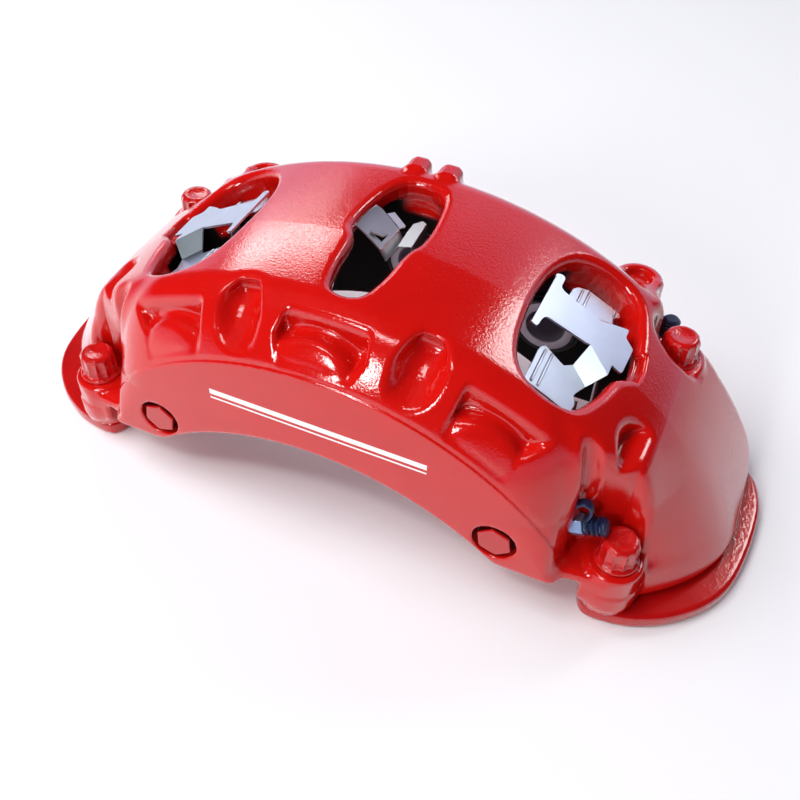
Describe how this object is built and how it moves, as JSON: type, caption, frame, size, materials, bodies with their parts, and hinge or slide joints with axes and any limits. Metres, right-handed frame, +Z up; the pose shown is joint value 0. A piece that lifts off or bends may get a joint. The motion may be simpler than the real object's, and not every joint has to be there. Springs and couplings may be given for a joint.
{
  "type": "brake caliper",
  "caption": "Fixed opposed-piston disc brake caliper with a one-piece arched housing, windows over the pads, bolted C-shaped end brackets, pad guide springs and bleed screws.",
  "frame": {"origin": "on the caliper's symmetry plane and the disc's middle plane, at the height of the end brackets' underside, which is the plane the part rests on; the disc axis is 76.4 mm below it", "axes": "+X along the caliper towards the end with the bleed screws, +Y along the disc axis from the outboard face towards the car, +Z up and radially outward at the middle"},
  "size_m": [0.381, 0.152, 0.131],
  "materials": {
    "red_housing_paint": "gloss red enamel over a cast surface, slight orange peel",
    "red_bracket_paint": "gloss red enamel, rougher at the edges",
    "red_bolt_paint": "gloss red enamel over machined steel",
    "piston_metal": "hard anodised, satin grey",
    "seal_rubber": "matte black",
    "boot_rubber": "matte black",
    "bleed_screw_steel": "zinc plated, bluish",
    "cap_rubber": "matte dark blue-black",
    "spring_steel": "bright rolled stainless sheet"
  },
  "bodies": {
    "housing": {"caliper_housing": "red_housing_paint", "end_bracket_left": "red_bracket_paint", "end_bracket_right": "red_bracket_paint", "front_bracket_bolts": "red_bolt_paint", "rear_bracket_bolts": "red_bolt_paint", "face_plugs": "red_bolt_paint", "seal_outer_left": "seal_rubber", "seal_outer_middle": "seal_rubber", "seal_outer_right": "seal_rubber", "seal_inner_left": "seal_rubber", "seal_inner_middle": "seal_rubber", "seal_inner_right": "seal_rubber", "boot_outer_left": "boot_rubber", "boot_outer_middle": "boot_rubber", "boot_outer_right": "boot_rubber", "boot_inner_left": "boot_rubber", "boot_inner_middle": "boot_rubber", "boot_inner_right": "boot_rubber", "end_spring_left": "spring_steel", "end_spring_right": "spring_steel", "centre_spring": "spring_steel"},
    "piston_outer_left_body": {"piston_outer_left": "piston_metal"},
    "piston_outer_middle_body": {"piston_outer_middle": "piston_metal"},
    "piston_outer_right_body": {"piston_outer_right": "piston_metal"},
    "piston_inner_left_body": {"piston_inner_left": "piston_metal"},
    "piston_inner_middle_body": {"piston_inner_middle": "piston_metal"},
    "piston_inner_right_body": {"piston_inner_right": "piston_metal"},
    "bleed_screw_outer_body": {"bleed_screw_outer": "bleed_screw_steel", "cap_strap_outer": "cap_rubber"},
    "bleed_cap_outer_body": {"bleed_cap_outer": "cap_rubber"},
    "bleed_screw_inner_body": {"bleed_screw_inner": "bleed_screw_steel", "cap_strap_inner": "cap_rubber"},
    "bleed_cap_inner_body": {"bleed_cap_inner": "cap_rubber"}
  },
  "joints": [
    {"name": "piston_outer_left_slide", "type": "slide", "parent": "housing", "child": "piston_outer_left_body", "axis": [0, 1, 0], "range_m": [0, 0.013], "deforming": ["boot_outer_left"]},
    {"name": "piston_outer_middle_slide", "type": "slide", "parent": "housing", "child": "piston_outer_middle_body", "axis": [0, 1, 0], "range_m": [0, 0.013], "deforming": ["boot_outer_middle"]},
    {"name": "piston_outer_right_slide", "type": "slide", "parent": "housing", "child": "piston_outer_right_body", "axis": [0, 1, 0], "range_m": [0, 0.013], "deforming": ["boot_outer_right"]},
    {"name": "piston_inner_left_slide", "type": "slide", "parent": "housing", "child": "piston_inner_left_body", "axis": [0, -1, 0], "range_m": [0, 0.013], "deforming": ["boot_inner_left"]},
    {"name": "piston_inner_middle_slide", "type": "slide", "parent": "housing", "child": "piston_inner_middle_body", "axis": [0, -1, 0], "range_m": [0, 0.013], "deforming": ["boot_inner_middle"]},
    {"name": "piston_inner_right_slide", "type": "slide", "parent": "housing", "child": "piston_inner_right_body", "axis": [0, -1, 0], "range_m": [0, 0.013], "deforming": ["boot_inner_right"]},
    {"name": "bleed_screw_outer_turn", "type": "hinge", "parent": "housing", "child": "bleed_screw_outer_body", "pos_m": [0.108, -0.054, 0.0472], "axis": [0.9397, 0, 0.342], "range_deg": [0, 180]},
    {"name": "bleed_cap_outer_pull", "type": "slide", "parent": "bleed_screw_outer_body", "child": "bleed_cap_outer_body", "axis": [0.9397, 0, 0.342], "range_m": [0, 0.009], "deforming": ["cap_strap_outer"]},
    {"name": "bleed_screw_inner_turn", "type": "hinge", "parent": "housing", "child": "bleed_screw_inner_body", "pos_m": [0.1215, 0.06, 0.058], "axis": [0, 0, 1], "range_deg": [0, 180]},
    {"name": "bleed_cap_inner_pull", "type": "slide", "parent": "bleed_screw_inner_body", "child": "bleed_cap_inner_body", "axis": [0, 0, 1], "range_m": [0, 0.009], "deforming": ["cap_strap_inner"]}
  ]
}
